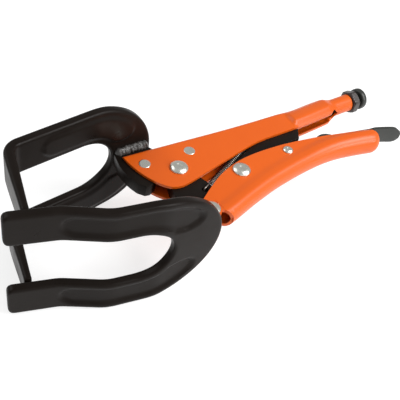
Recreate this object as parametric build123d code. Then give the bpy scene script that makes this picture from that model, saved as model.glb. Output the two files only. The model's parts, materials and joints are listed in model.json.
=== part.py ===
from build123d import *
import math
import os

# Locking clamp pliers with two forked jaws, lying on their side with the jaws locked.
# Working frame: main pivot at the origin, +X to the rear end of the handles,
# +Y from the lower handle to the upper handle, +Z along the pivots. Millimetres.

# Where the main pivot sits in the part's own frame. The origin there is the middle of
# the outer box, at the height of the lowest fork edge.
PIVOT_X = -24.1
PIVOT_Y = 7.9
PIVOT_Z = 39.7

# Pivots of the toggle linkage, seen along Z
JAW_PIVOT = (0.0, 0.0)
HANDLE_PIVOT = (0.3, -36.0)
LINK_PIVOT = (34.8, -16.3)
LEVER_PIVOT = (73.3, -13.0)
FRONT_FIXING = (-17.4, 10.8)
REAR_FIXING = (13.6, 10.4)

# Pressed sheet handles
CHEEK_OUT = 6.0
CHEEK_IN = 4.2
SHEET = CHEEK_OUT - CHEEK_IN
PLATE_HALF = 3.9

# Rivets
PIN_R = 3.5
PIN_BORE_R = 3.55
DOME_R = 5.4
DOME_H = 2.3
LEVER_PIN_R = 2.0
LEVER_BORE_R = 2.05
LEVER_DOME_R = 3.2
LEVER_DOME_H = 1.5
FLUSH_R = 3.6
FLUSH_H = 0.25
ANCHOR_R = 1.0

# Adjusting screw, leaning a little towards the handle's mouth
SCREW_POINT = (150.5, 15.9)
SCREW_LEAN = 3.0
THREAD_R = 3.85
THREAD_BORE_R = 3.9
TUBE_R = 6.0
TUBE_LENGTH = 24.5
SCREW_TIP = -48.2
NUT_FLATS = 14.6
NUT_START = 0.4
NUT_THICK = 5.6
HEAD_START = 9.0
HEAD_THICK = 4.4
HEAD_R = 7.5

# Forks
FORK_HALF = 39.7
FORK_GAP_HALF = 18.5
FORK_EDGE = 1.5
UPPER_FORK_BACK_X = -4.0
LOWER_FORK_BACK_X = 0.5
FORK_ARM_END_X = -46.0
FORK_GAP_END_X = -30.5
LEG_TAPER = 4.0
WELD_R = 2.6

# Jaw spring
SPRING_HOLE = (6.4, -20.0)
SPRING_HOLE_R = 1.9
SPRING_ANCHOR = (62.0, 10.0)
SPRING_WIRE_R = 0.45
SPRING_HOOK_R = 0.5
SPRING_COIL_R = 2.2
SPRING_TURNS = 33
FRONT_HOOK = 9.0
REAR_HOOK = 4.5

# Release lever, folded from thin sheet
LEVER_EAR = 1.4

# Handle spines from front to rear: place along X, height of the outer surface, and the
# bend radius (upper) or the half width of the round channel (lower)
UPPER_SPINE = [
    (-36, 22.3, 2.4),
    (0, 21.4, 2.4),
    (50, 19.9, 2.4),
    (89, 20.0, 2.5),
    (101, 20.6, 5.0),
    (128, 22.2, 5.8),
    (138, 22.6, 5.9),
]
LOWER_SPINE = [
    (-8, -53.0, 6.0),
    (11, -44.8, 6.0),
    (17, -43.0, 6.0),
    (33, -37.8, 6.0),
    (52, -32.6, 6.0),
    (66, -29.8, 6.0),
    (80, -27.6, 6.0),
    (96, -26.0, 6.5),
    (110, -26.1, 7.0),
    (126, -28.2, 7.4),
    (146, -32.0, 7.4),
]


def save(name, shape):
    placed = Pos(PIVOT_X, PIVOT_Y, PIVOT_Z) * shape
    placed.label = name
    export_step(placed, f"parts/{name}.step")


def plate(face, half):
    """A face drawn in the XY plane, thickened equally to both sides."""
    return extrude(face, amount=half, both=True)


def outline(*pieces):
    """A flat face inside lines and curves that follow one another."""
    return make_face(Wire([edge for piece in pieces for edge in piece.edges()]))


def bore(at, radius):
    return Pos(at[0], at[1], 0) * Cylinder(radius, 60)


def on_screw(along):
    """A place on the screw's axis, with local +Z pointing out of the handle."""
    lean = math.radians(SCREW_LEAN)
    x = SCREW_POINT[0] + along * math.cos(lean)
    y = SCREW_POINT[1] + along * math.sin(lean)
    return Pos(x, y, 0) * Rot(0, 0, SCREW_LEAN) * Rot(0, 90, 0)


def rod_on_screw(start, end, radius):
    middle = (start + end) / 2
    return on_screw(middle) * Cylinder(radius, end - start)


# ---------------------------------------------------------------- forks


def fork_plan(back_x):
    """The U shape of a fork, seen along Y, as a tall prism."""
    arm = FORK_ARM_END_X
    tips = -140
    back = [(arm, FORK_HALF), (-28.6, 37.4), (-13, 27.8), (back_x - 2.4, 14.5), (back_x, 0)]
    mirrored = [(x, -z) for x, z in reversed(back)]
    gap_arm = FORK_GAP_END_X - FORK_GAP_HALF * 1.15
    gap_end = [(gap_arm, -FORK_GAP_HALF), (FORK_GAP_END_X, 0), (gap_arm, FORK_GAP_HALF)]
    edges = [
        Line((tips, FORK_HALF), (arm, FORK_HALF)),
        Spline(*back, tangents=[(1, 0), (0, -1)]),
        Spline(*mirrored, tangents=[(0, -1), (-1, 0)]),
        Line((arm, -FORK_HALF), (tips, -FORK_HALF)),
        Line((tips, -FORK_HALF), (tips, -FORK_GAP_HALF)),
        Line((tips, -FORK_GAP_HALF), (gap_arm, -FORK_GAP_HALF)),
        Spline(*gap_end, tangents=[(1, 0), (-1, 0)]),
        Line((gap_arm, FORK_GAP_HALF), (tips, FORK_GAP_HALF)),
        Line((tips, FORK_GAP_HALF), (tips, FORK_HALF)),
    ]
    return Rot(90, 0, 0) * extrude(outline(*edges), amount=60, both=True)


def rounded_outline(corners):
    """A closed outline with each corner rounded by its own radius, as a face."""
    face = make_face(Polyline(*[(x, y) for x, y, _ in corners], close=True))
    for x, y, radius in corners:
        if radius:
            corner = face.vertices().sort_by_distance((x, y, 0))[0]
            face = fillet(corner, radius)
    return face


def lower_fork():
    """Pads at the tips, a step down behind them, then level to the welded back."""
    band = rounded_outline(
        [
            (-116.4, -25.6, 0),
            (-89.6, -32.8, 22),
            (-67.4, -44.6, 30),
            (-38.0, -49.4, 40),
            (6.0, -48.6, 0),
            (6.0, -42.8, 0),
            (-38.0, -43.6, 40),
            (-64.8, -39.4, 26),
            (-88.0, -27.2, 28),
            (-114.9, -20.0, 0),
        ]
    )
    fork = plate(band, 60) & fork_plan(LOWER_FORK_BACK_X)
    return fillet(fork.edges(), FORK_EDGE)


def upper_fork():
    """Arms running forward, then bent down into legs that stand on the lower pads."""
    band = rounded_outline(
        [
            (6.0, 34.0, 0),
            (-36.0, 32.6, 60),
            (-98.8, 24.0, 9),
            (-105.6, -22.0, 0),
            (-101.4, -23.1, 0),
            (-93.2, 18.2, 3),
            (-36.0, 26.8, 60),
            (6.0, 28.2, 0),
        ]
    )
    fork = plate(band, 60) & fork_plan(UPPER_FORK_BACK_X)
    fork -= leg_trims()
    return fillet(fork.edges(), FORK_EDGE)


def leg_trims():
    """Wedges that narrow each leg towards its foot."""
    trims = []
    for side in (1, -1):
        top = side * FORK_HALF
        wedge = Polyline(
            (14, top), (-30, top - side * LEG_TAPER), (-30, top + side), (14, top + side),
            close=True,
        )
        block = extrude(make_face(wedge), amount=30)
        trims.append(Pos(-120, 0, 0) * Rot(90, 0, 90) * block)
    return trims


# ---------------------------------------------------------------- handles


def channel_section(x, bottom, top, half, corner):
    """A filled section across a handle, at one place along it, with a round top."""
    low = top - corner
    flat = half - corner
    bend = corner * (1 - math.sqrt(0.5))
    with BuildSketch(Plane.YZ.offset(x)) as section:
        with BuildLine():
            Polyline((low, half), (bottom, half), (bottom, -half), (low, -half))
            ThreePointArc((low, -half), (top - bend, -half + bend), (top, -flat))
            Line((top, -flat), (top, flat))
            ThreePointArc((top, flat), (top - bend, half - bend), (low, half))
        make_face()
    return section.sketch


def upper_handle():
    """A folded channel, open below, that closes into a tube round the screw."""
    outer = loft(
        [channel_section(x, -40, top, CHEEK_OUT, r) for x, top, r in UPPER_SPINE],
        ruled=True,
    )
    inner = loft(
        [
            channel_section(x, -50, top - SHEET, CHEEK_IN, max(r - SHEET, 0.8))
            for x, top, r in UPPER_SPINE[:-1]
        ],
        ruled=True,
    )
    side = outline(
        Line((-27.5, 40), (-27.5, 20.5)),
        Spline((-27.5, 20.5), (-24.2, 5), (-16, -9.6), (-6, -14), (4, -12)),
        Spline((4, -12), (30, -5.4), (60, 1.4), (91, 3.0)),
        Polyline((91, 3.0), (126, 6.6), (132, 8.4), (138, 13), (138, 40), (-27.5, 40)),
    )
    channel = (outer - inner) & plate(side, 20)
    mouth = Pos(-25, 25, 0) * Box(46, 30, 2 * CHEEK_IN)
    tube = rod_on_screw(-TUBE_LENGTH, 0, TUBE_R)
    hollow = rod_on_screw(-TUBE_LENGTH - 6, 1, THREAD_BORE_R)
    handle = channel - mouth + tube - hollow
    for at in (FRONT_FIXING, REAR_FIXING):
        handle -= bore(at, FLUSH_R)
    return handle - bore(JAW_PIVOT, PIN_R) - bore(SPRING_ANCHOR, ANCHOR_R)


def lower_handle():
    """A channel with a round spine below, open above, swelling into a palm grip."""
    flip = Rot(180, 0, 0)
    outer = loft(
        [channel_section(x, -30, -y, half, half - 0.1) for x, y, half in LOWER_SPINE],
        ruled=True,
    )
    inner = loft(
        [
            channel_section(x, -40, -y - SHEET, half - SHEET, half - SHEET - 0.1)
            for x, y, half in LOWER_SPINE
        ],
        ruled=True,
    )
    side = outline(
        Polyline((11.8, -50), (11.4, -44.4), (5.6, -39.8)),
        ThreePointArc((5.6, -39.8), (-4.3, -40.6), (-3.0, -30.4)),
        Spline((-3.0, -30.4), (10, -21), (20, -14), (30, -9.3), (40, -7.2)),
        Spline((40, -7.2), (58, -7.0), (76, -7.5), (105, -11), (131, -17.4)),
        Spline((131, -17.4), (137, -20.8), (139.6, -28), (137.6, -38)),
        Polyline((137.6, -38), (120, -50), (11.8, -50)),
    )
    channel = (flip * outer - flip * inner) & plate(side, 20)
    channel -= bore(HANDLE_PIVOT, PIN_R) + bore(LINK_PIVOT, PIN_R)
    return channel - bore(LEVER_PIVOT, LEVER_PIN_R)


# ---------------------------------------------------------------- jaw shanks and welds


def upper_jaw_shank(fork):
    """A thick plate fixed between the upper cheeks, reaching out to the fork."""
    side = outline(
        Polyline((-5.5, 21.5), (-8.5, 27), (-29.5, 27), (-31, 17)),
        Spline((-31, 17), (-30.2, 7), (-27.6, -1.0)),
        Polyline((-27.6, -1.0), (-24.5, -4.5), (-21.5, -5.0), (-17.5, -3.0)),
        Spline((-17.5, -3.0), (-12, 4), (-6.5, 9.8), (0, 11.2), (8, 8.6)),
        Spline((8, 8.6), (12, 5.8), (18, 5.2), (21, 9)),
        Polyline((21, 9), (21, 17.0), (-3.0, 17.8), (-5.5, 21.5)),
    )
    shank = plate(side, CHEEK_IN) - fork
    return shank - bore(FRONT_FIXING, FLUSH_R) - bore(REAR_FIXING, FLUSH_R)


def lower_jaw_shank(fork):
    """The moving plate: main pivot, handle pivot and spring hole in one forging."""
    side = outline(
        ThreePointArc((-8.6, -2.6), (1.2, 8.9), (8.4, -3.2)),
        Spline((8.4, -3.2), (9.2, -10), (11.6, -17), (11.2, -24)),
        Spline((11.2, -24), (8.6, -28.5), (7.4, -34), (3.8, -39.4)),
        Polyline((3.8, -39.4), (0, -42.5), (-2, -46.5), (-21, -46.5), (-21, -40)),
        Spline((-21, -40), (-15.5, -30), (-12.4, -16), (-8.6, -2.6)),
    )
    shank = plate(side, PLATE_HALF) - fork
    shank -= bore(JAW_PIVOT, PIN_BORE_R) + bore(HANDLE_PIVOT, PIN_BORE_R)
    return shank - bore(SPRING_HOLE, SPRING_HOLE_R)


def weld_beads(start, end, half, shank, fork):
    """Weld metal in both corners between a shank and its fork's plate."""
    run = math.dist(start, end)
    turn = math.degrees(math.atan2(end[1] - start[1], end[0] - start[0]))
    middle = ((start[0] + end[0]) / 2, (start[1] + end[1]) / 2)
    bead = Part()
    for z in (half, -half):
        rod = Pos(middle[0], middle[1], z) * Rot(0, 0, turn) * Rot(0, 90, 0)
        bead += rod * Cylinder(WELD_R, run)
        bead += Pos(start[0], start[1], z) * Sphere(WELD_R)
        bead += Pos(end[0], end[1], z) * Sphere(WELD_R)
    return bead - shank - fork


# ---------------------------------------------------------------- linkage


def toggle_link():
    """From the lower handle's pivot up to the tip of the adjusting screw."""
    side = outline(
        ThreePointArc((31.0, -21.6), (28.4, -14.6), (33.2, -10.0)),
        Spline((33.2, -10.0), (42, -5.0), (54, 0.6), (70, 6.6), (84, 11.4)),
        Line((84, 11.4), (94.6, 15.0)),
        ThreePointArc((94.6, 15.0), (99.2, 13.4), (99.2, 10.6)),
        Line((99.2, 10.6), (89.6, -4.8)),
        Spline((89.6, -4.8), (72, -6.6), (56, -11.4), (44, -19.0)),
        ThreePointArc((44, -19.0), (37.6, -22.2), (31.0, -21.6)),
    )
    return plate(side, PLATE_HALF) - bore(LINK_PIVOT, PIN_BORE_R)


def release_lever():
    """Two ears on the lever pivot, a folded web under them and a wide tail."""
    ears = outline(
        Line((60, -17.0), (68, -15.4)),
        Spline((68, -15.4), (69.5, -10.0), (74, -8.9), (79, -11.6)),
        Spline((79, -11.6), (90, -12.8), (98, -10), (105, -7.5), (110, -8.2)),
        Spline((110, -8.2), (114.5, -11.2), (121, -14.4)),
        Polyline((121, -14.4), (121, -17.0), (84, -19.4), (62, -20.0), (60, -17)),
    )
    ear = extrude(ears, amount=LEVER_EAR)
    lever = Pos(0, 0, PLATE_HALF - LEVER_EAR) * ear + Pos(0, 0, -PLATE_HALF) * ear
    spine = outline(
        Polyline((82, -17.8), (112, -16.2), (124, -14.2)),
        Spline((124, -14.2), (140, -16.5), (152, -19.7), (167, -26.4)),
        Line((167, -26.4), (166, -28.2)),
        Spline((166, -28.2), (151.4, -21.7), (139.6, -18.5), (124, -16.4)),
        Polyline((124, -16.4), (112, -18.6), (82, -20.0), (82, -17.8)),
    )
    plan = make_face(
        Polyline(
            (80, 3.9), (116, 3.9), (124, 5.2), (141, 5.2), (145, 6.1), (163.6, 6.1),
            (163.6, -6.1), (145, -6.1), (141, -5.2), (124, -5.2), (116, -3.9), (80, -3.9),
            close=True,
        )
    )
    tips = plan.vertices().group_by(Axis.X)[-1]
    plan = fillet(tips, 5.6)
    web = plate(spine, 10) & (Rot(90, 0, 0) * extrude(plan, amount=60, both=True))
    return lever + web - bore(LEVER_PIVOT, LEVER_BORE_R)


# ---------------------------------------------------------------- rivets, screw, spring


def dome(radius, height):
    """A shallow rounded rivet head standing on the XY plane."""
    ball_r = (radius**2 + height**2) / (2 * height)
    ball = Pos(0, 0, height - ball_r) * Sphere(ball_r)
    return ball & (Pos(0, 0, height / 2) * Cylinder(radius, height))


def domed_rivet(at, pin_r, head_r, head_h, cheek=CHEEK_OUT):
    pin = Cylinder(pin_r, 2 * cheek)
    upper = Pos(0, 0, cheek) * dome(head_r, head_h)
    lower = Rot(180, 0, 0) * upper
    return Pos(at[0], at[1], 0) * (pin + upper + lower)


def flush_rivet(at):
    return Pos(at[0], at[1], 0) * Cylinder(FLUSH_R, 2 * (CHEEK_OUT + FLUSH_H))


def adjusting_screw():
    body = rod_on_screw(SCREW_TIP, HEAD_START, THREAD_R)
    ends = body.edges().filter_by(GeomType.CIRCLE).sort_by(Axis.X)
    return chamfer(ends[0], 0.8)


def screw_head():
    disc = Cylinder(HEAD_R, HEAD_THICK)
    disc = fillet(disc.edges().filter_by(GeomType.CIRCLE), 1.4)
    return on_screw(HEAD_START + HEAD_THICK / 2) * disc


def lock_nut():
    hexagon = extrude(RegularPolygon(NUT_FLATS / math.sqrt(3), 6), amount=NUT_THICK)
    blank = hexagon & (Pos(0, 0, NUT_THICK / 2) * Sphere(NUT_FLATS * 0.585))
    return on_screw(NUT_START) * (blank - Cylinder(THREAD_BORE_R, 30))


def wire_run(*points):
    """Round wire that turns a corner at each point."""
    wire = Pos(*points[0]) * Sphere(SPRING_HOOK_R)
    for start, end in zip(points, points[1:]):
        reach = Vector(*end) - Vector(*start)
        wire += Plane(origin=start, z_dir=reach) * Cylinder(
            SPRING_HOOK_R, reach.length, align=(Align.CENTER, Align.CENTER, Align.MIN)
        )
        wire += Pos(*end) * Sphere(SPRING_HOOK_R)
    return wire


def jaw_spring():
    """A close-wound extension spring; local +Z runs from the shank's hole to the pin."""
    span = math.dist(SPRING_HOLE, SPRING_ANCHOR)
    coil_length = span - FRONT_HOOK - REAR_HOOK
    helix = Helix(coil_length / SPRING_TURNS, coil_length, SPRING_COIL_R)
    ring = Plane(origin=helix @ 0, z_dir=helix % 0) * Circle(SPRING_WIRE_R)
    coil = Pos(0, 0, FRONT_HOOK) * Rot(0, 0, 180) * sweep(ring, helix)
    side = -SPRING_COIL_R
    over_plate = -PLATE_HALF - 0.8
    shank_hook = wire_run(
        (2.5, 0, 0), (over_plate, 0, 0), (over_plate, 0, 6.2), (side, 0, FRONT_HOOK)
    )
    wrap = ANCHOR_R + SPRING_HOOK_R + 0.3
    corners = []
    for degrees in (200, 145, 90, 35, -20):
        angle = math.radians(degrees)
        corners.append((side, wrap * math.cos(angle), span + wrap * math.sin(angle)))
    pin_hook = wire_run((side, 0, span - REAR_HOOK), *corners)
    return coil + shank_hook + pin_hook


def along_spring(shape):
    turn = math.degrees(
        math.atan2(SPRING_ANCHOR[1] - SPRING_HOLE[1], SPRING_ANCHOR[0] - SPRING_HOLE[0])
    )
    return Pos(SPRING_HOLE[0], SPRING_HOLE[1], 0) * Rot(0, 0, turn) * Rot(0, 90, 0) * shape


def build():
    os.makedirs("parts", exist_ok=True)
    upper = upper_fork()
    lower = lower_fork()
    save("upper_jaw_fork", upper)
    save("lower_jaw_fork", lower)
    fixed_shank = upper_jaw_shank(upper)
    moving_shank = lower_jaw_shank(lower)
    save("upper_jaw_shank", fixed_shank)
    save("lower_jaw_shank", moving_shank)
    save("upper_jaw_welds", weld_beads((-26, 27), (-10.5, 27.6), CHEEK_IN, fixed_shank, upper))
    save("lower_jaw_welds", weld_beads((-19, -43.4), (-8, -43.2), PLATE_HALF, moving_shank, lower))
    save("upper_handle", upper_handle())
    save("lower_handle", lower_handle())
    save("toggle_link", toggle_link())
    save("release_lever", release_lever())
    save("main_pivot_rivet", domed_rivet(JAW_PIVOT, PIN_R, DOME_R, DOME_H))
    save("handle_pivot_rivet", domed_rivet(HANDLE_PIVOT, PIN_R, DOME_R, DOME_H))
    save("link_pivot_rivet", domed_rivet(LINK_PIVOT, PIN_R, DOME_R, DOME_H))
    save(
        "lever_pivot_rivet",
        domed_rivet(LEVER_PIVOT, LEVER_PIN_R, LEVER_DOME_R, LEVER_DOME_H),
    )
    save("front_shank_rivet", flush_rivet(FRONT_FIXING))
    save("rear_shank_rivet", flush_rivet(REAR_FIXING))
    save("adjusting_screw", adjusting_screw())
    save("screw_head", screw_head())
    save("lock_nut", lock_nut())
    save("jaw_spring", along_spring(jaw_spring()))
    save("spring_anchor_pin", Pos(*SPRING_ANCHOR, 0) * Cylinder(ANCHOR_R, 2 * CHEEK_OUT))


build()
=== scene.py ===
# %% [markdown]
# # Locking clamp pliers
# The tool is a toggle clamp: two folded orange handles and two dark steel forks. The imported CAD
# model gives every size, pivot and motion. This file adds the finish: rounder edges, pressed
# hollows, a wound spring, paint and plating.
#
# First comes the frame. Every CAD piece is loaded in its place, so a new piece only has to be
# built in the same place.

# %% Load the imported model
import json
import math
import bmesh
import bpy
from mathutils import Matrix, Vector, noise


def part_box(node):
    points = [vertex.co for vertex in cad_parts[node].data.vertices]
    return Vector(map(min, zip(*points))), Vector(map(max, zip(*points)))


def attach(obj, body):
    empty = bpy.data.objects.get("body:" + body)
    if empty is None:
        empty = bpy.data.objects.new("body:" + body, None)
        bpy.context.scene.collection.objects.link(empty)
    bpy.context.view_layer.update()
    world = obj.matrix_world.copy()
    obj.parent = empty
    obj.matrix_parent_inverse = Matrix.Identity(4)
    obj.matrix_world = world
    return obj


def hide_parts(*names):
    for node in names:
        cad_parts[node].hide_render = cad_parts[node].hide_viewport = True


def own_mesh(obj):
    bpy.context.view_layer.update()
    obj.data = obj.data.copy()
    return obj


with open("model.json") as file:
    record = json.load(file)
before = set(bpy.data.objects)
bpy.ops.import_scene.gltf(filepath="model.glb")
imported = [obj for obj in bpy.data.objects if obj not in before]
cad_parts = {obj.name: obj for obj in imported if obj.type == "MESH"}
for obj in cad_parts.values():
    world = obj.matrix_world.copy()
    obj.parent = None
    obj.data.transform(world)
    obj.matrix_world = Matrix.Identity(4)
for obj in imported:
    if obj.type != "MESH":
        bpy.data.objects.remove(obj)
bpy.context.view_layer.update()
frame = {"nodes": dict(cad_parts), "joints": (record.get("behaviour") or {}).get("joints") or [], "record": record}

# %% [markdown]
# All lengths below are millimetres measured from the main pivot, in the middle plane of the tool:
# x runs back along the handles, y from the lower handle to the upper one, z along the rivets. The
# pivot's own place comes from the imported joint. One helper turns these lengths into the frame's
# metres, and another gives the middle of a CAD piece, which is how the rivets find their holes.

# %% Where the main pivot sits
PIVOT = Vector(next(row["pos_m"] for row in frame["joints"] if row["name"] == "jaw_pivot")) * 1000


def at(x, y, z=0.0):
    """A place in the frame, in metres."""
    return (PIVOT + Vector((x, y, z))) / 1000


def middle(node):
    """The middle of a CAD piece to a hundredth of a millimetre, seen along the rivets."""
    low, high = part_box(node)
    centre = (low + high) / 2 * 1000 - PIVOT
    return round(centre.x, 2), round(centre.y, 2)


print("main pivot", [round(v, 4) for v in at(0, 0)])

# %% [markdown]
# ## Finishes
# A finish here is a small node tree: one shader, a little noise for uneven colour and gloss, and
# a fine bump. The helper below makes that once, and each metal or paint only names its values.
# Object coordinates are used, so the pattern sits still on a piece when it moves.

# %% A helper for finishes
def finish(name, colour, second, rough, rough_swing=0.06, metal=0.0, coat=0.0, coat_rough=0.2,
           patch=60.0, grain=900.0, bump=0.0002, specular=0.5):
    """Two colours mixed in soft patches, uneven gloss and a fine grain."""
    mat = bpy.data.materials.new(name)
    mat.use_nodes = True
    tree = mat.node_tree
    shader = tree.nodes["Principled BSDF"]
    place = tree.nodes.new("ShaderNodeTexCoord")
    patches = tree.nodes.new("ShaderNodeTexNoise")
    patches.inputs["Scale"].default_value = patch
    patches.inputs["Detail"].default_value = 4.0
    patches.inputs["Roughness"].default_value = 0.6
    mix = tree.nodes.new("ShaderNodeMix")
    mix.data_type = "RGBA"
    mix.inputs["A"].default_value = (*colour, 1)
    mix.inputs["B"].default_value = (*second, 1)
    gloss = tree.nodes.new("ShaderNodeMapRange")
    gloss.inputs["From Min"].default_value = 0.3
    gloss.inputs["From Max"].default_value = 0.7
    gloss.inputs["To Min"].default_value = rough - rough_swing
    gloss.inputs["To Max"].default_value = rough + rough_swing
    fine = tree.nodes.new("ShaderNodeTexNoise")
    fine.inputs["Scale"].default_value = grain
    fine.inputs["Detail"].default_value = 3.0
    relief = tree.nodes.new("ShaderNodeBump")
    relief.inputs["Strength"].default_value = 0.35
    relief.inputs["Distance"].default_value = bump
    link = tree.links.new
    link(place.outputs["Object"], patches.inputs["Vector"])
    link(place.outputs["Object"], fine.inputs["Vector"])
    link(patches.outputs["Fac"], mix.inputs["Factor"])
    link(mix.outputs["Result"], shader.inputs["Base Color"])
    link(patches.outputs["Fac"], gloss.inputs["Value"])
    link(gloss.outputs["Result"], shader.inputs["Roughness"])
    link(fine.outputs["Fac"], relief.inputs["Height"])
    link(relief.outputs["Normal"], shader.inputs["Normal"])
    shader.inputs["Metallic"].default_value = metal
    shader.inputs["Specular IOR Level"].default_value = specular
    shader.inputs["Coat Weight"].default_value = coat
    shader.inputs["Coat Roughness"].default_value = coat_rough
    return mat


# %% [markdown]
# The handles are pressed sheet under a smooth orange powder coat. Powder coat levels out while it
# melts, so its surface has a very faint ripple and a soft, wide highlight. The highlight comes
# from the shader's coat layer, which keeps the colour underneath strong.
#
# The forks, shanks and link carry a satin, slightly blotchy brown-black coating on thick steel.
# The weld metal is lumpy and catches more light. Only the zinc on the rivets and the spring's
# oiled wire are shaded as bare metal.

# %% Paint, coating and plating
orange_paint = finish("orange_powder_coat", (0.68, 0.098, 0.002), (0.75, 0.116, 0.003), 0.44,
                      specular=0.10, coat=0.6, coat_rough=0.34, patch=25, grain=700, bump=0.00004)
dark_coating = finish("brown_black_coating", (0.0072, 0.0048, 0.0036), (0.012, 0.0088, 0.0070), 0.34,
                      specular=0.10, rough_swing=0.08, patch=70, grain=1300, bump=0.0001)
weld_skin = finish("coated_weld_metal", (0.022, 0.019, 0.017), (0.10, 0.095, 0.09), 0.36,
                   rough_swing=0.14, patch=420, grain=900, bump=0.0006, specular=0.7)
zinc_plate = finish("satin_zinc_plate", (0.80, 0.80, 0.72), (0.86, 0.86, 0.79), 0.28,
                    metal=1.0, patch=300, grain=2500, bump=0.00005)
grey_plate = finish("green_grey_plate", (0.018, 0.020, 0.017), (0.032, 0.035, 0.030), 0.38,
                    patch=160, grain=2200, bump=0.0001)
black_oxide = finish("black_brown_oxide", (0.030, 0.022, 0.019), (0.046, 0.036, 0.033), 0.34,
                     patch=200, grain=2000, bump=0.0001)
spring_steel = finish("oiled_spring_steel", (0.20, 0.18, 0.16), (0.34, 0.31, 0.28), 0.28,
                      metal=0.9, patch=500, grain=3000, bump=0.00003)
FINISHES = {
    "orange_paint": orange_paint,
    "dark_steel": dark_coating,
    "weld_metal": weld_skin,
    "bright_rivet": zinc_plate,
    "grey_coated_steel": grey_plate,
    "black_nut": black_oxide,
    "spring_wire": spring_steel,
}
print("finishes", len(FINISHES))

# %% [markdown]
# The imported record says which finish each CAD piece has. Every piece is painted here first, so
# none is ever left bare, and the pieces built later use the same seven finishes.

# %% Paint every CAD piece in its own finish
SLOT_OF = {row["node"]: row["material_slot"] for row in frame["record"]["subparts"]}
for node, piece in frame["nodes"].items():
    piece.data.materials.clear()
    piece.data.materials.append(FINISHES[SLOT_OF[node]])
print("painted", len(frame["nodes"]), "CAD pieces")

# %% [markdown]
# ## The forks
# Each fork is one thick flat bar, bent into a U and pressed to shape: seen from the front it is a
# U, seen from the side it is a bent line. So it is drawn as a line (its side view) and a U (its
# front view), and a rounded rectangle is swept round the U while its height follows the line.
# This keeps long clean rows of faces, so the rounded edges catch the light evenly.

# %% A line with rounded bends
def bent_line(corners, step=1.0):
    """Points and normals along straight runs joined by arcs. Each corner is (x, y, radius)."""
    points = [Vector(corners[0][:2])]
    for before, corner, after in zip(corners, corners[1:], corners[2:]):
        here = Vector(corner[:2])
        back = (Vector(before[:2]) - here).normalized()
        ahead = (Vector(after[:2]) - here).normalized()
        half = back.angle(ahead) / 2
        reach = corner[2] / math.tan(half)
        centre = here + (back + ahead).normalized() * corner[2] / math.sin(half)
        start, end = here + back * reach, here + ahead * reach
        steps = max(2, int((start - end).length / step))
        for k in range(steps + 1):
            spoke = (start - centre).lerp(end - centre, k / steps).normalized()
            points.append(centre + spoke * corner[2])
    points.append(Vector(corners[-1][:2]))
    line = []
    for start, end in zip(points, points[1:]):
        parts = max(1, int((end - start).length / step))
        line += [start.lerp(end, k / parts) for k in range(parts)]
    line.append(points[-1])
    across = []
    for k in range(len(line)):
        run = (line[min(k + 1, len(line) - 1)] - line[max(k - 1, 0)]).normalized()
        across.append(Vector((-run.y, run.x)))
    return line, across


def height_at(line, x):
    """Where the line crosses x: its y and the slope's normal."""
    points, across = line
    for k in range(len(points) - 1):
        a, b = points[k], points[k + 1]
        if min(a.x, b.x) <= x <= max(a.x, b.x) and abs(b.x - a.x) > 1e-6:
            t = (x - a.x) / (b.x - a.x)
            return a.lerp(b, t).y, across[k].lerp(across[k + 1], t)
    end = 0 if abs(points[0].x - x) < abs(points[-1].x - x) else -1
    return points[end].y, across[end]


# %% [markdown]
# Most pieces of this tool are rows of rings: a cross-section carried along the part, with faces
# between neighbours. Rings give even quads, which shade far better than the long thin triangles
# of a CAD export. The helpers below join rings, clean the mesh, and put the piece on its body.

# %% A mesh from rings
def mesh_piece(name, points, faces, material, slot, body, *nodes):
    """Makes the piece, cleans its mesh, and puts it on its body in place of CAD nodes."""
    mesh = bpy.data.meshes.new(name)
    mesh.from_pydata([at(*p) for p in points], [], faces)
    work = bmesh.new()
    work.from_mesh(mesh)
    bmesh.ops.remove_doubles(work, verts=work.verts, dist=1e-6)
    bmesh.ops.dissolve_degenerate(work, edges=work.edges, dist=1e-6)
    bmesh.ops.recalc_face_normals(work, faces=work.faces)
    work.to_mesh(mesh)
    work.free()
    piece = bpy.data.objects.new(name, mesh)
    bpy.context.scene.collection.objects.link(piece)
    return dress(piece, material, slot, body, *nodes)


def dress(piece, material, slot, body, *nodes):
    """Paints a piece and lets it ride on its body; it stands for the CAD nodes that are named."""
    piece.data.materials.clear()
    piece.data.materials.append(material)
    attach(piece, body)
    if nodes:
        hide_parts(*nodes)
    print(piece.name, len(piece.data.polygons), "faces")
    return piece


def smooth(piece, degrees=40):
    """Shades faces smoothly except over edges sharper than the angle."""
    work = bmesh.new()
    work.from_mesh(piece.data)
    for face in work.faces:
        face.smooth = True
    for edge in work.edges:
        if edge.is_manifold and edge.calc_face_angle() > math.radians(degrees):
            edge.smooth = False
    work.to_mesh(piece.data)
    work.free()


def ring_faces(rings):
    """Quads between rings of equal length, and a flat cap on each end."""
    size = len(rings[0])
    faces = []
    for k in range(len(rings) - 1):
        for j in range(size):
            n = (j + 1) % size
            faces.append((k * size + j, k * size + n, (k + 1) * size + n, (k + 1) * size + j))
    last = (len(rings) - 1) * size
    faces.append(tuple(range(size)))
    faces.append(tuple(last + j for j in reversed(range(size))))
    return faces


def capped(rings):
    """Points and faces of a closed bar through the rings."""
    return [p for ring in rings for p in ring], ring_faces(rings)


def joined(*parts):
    """Several sets of points and faces as one."""
    points, faces = [], []
    for more_points, more_faces in parts:
        base = len(points)
        points += more_points
        faces += [tuple(base + i for i in face) for face in more_faces]
    return points, faces


# %% [markdown]
# The press that bends the forks also strikes a long shallow hollow into the outer face of each
# finger, and the same metal stands up as a rib on the inner face. The hollow runs back from
# behind the pads, turns with the U and fades out before the middle. It is worked out as a depth
# for every point of the bar, from how far round the U and how far across the bar the point is.

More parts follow.
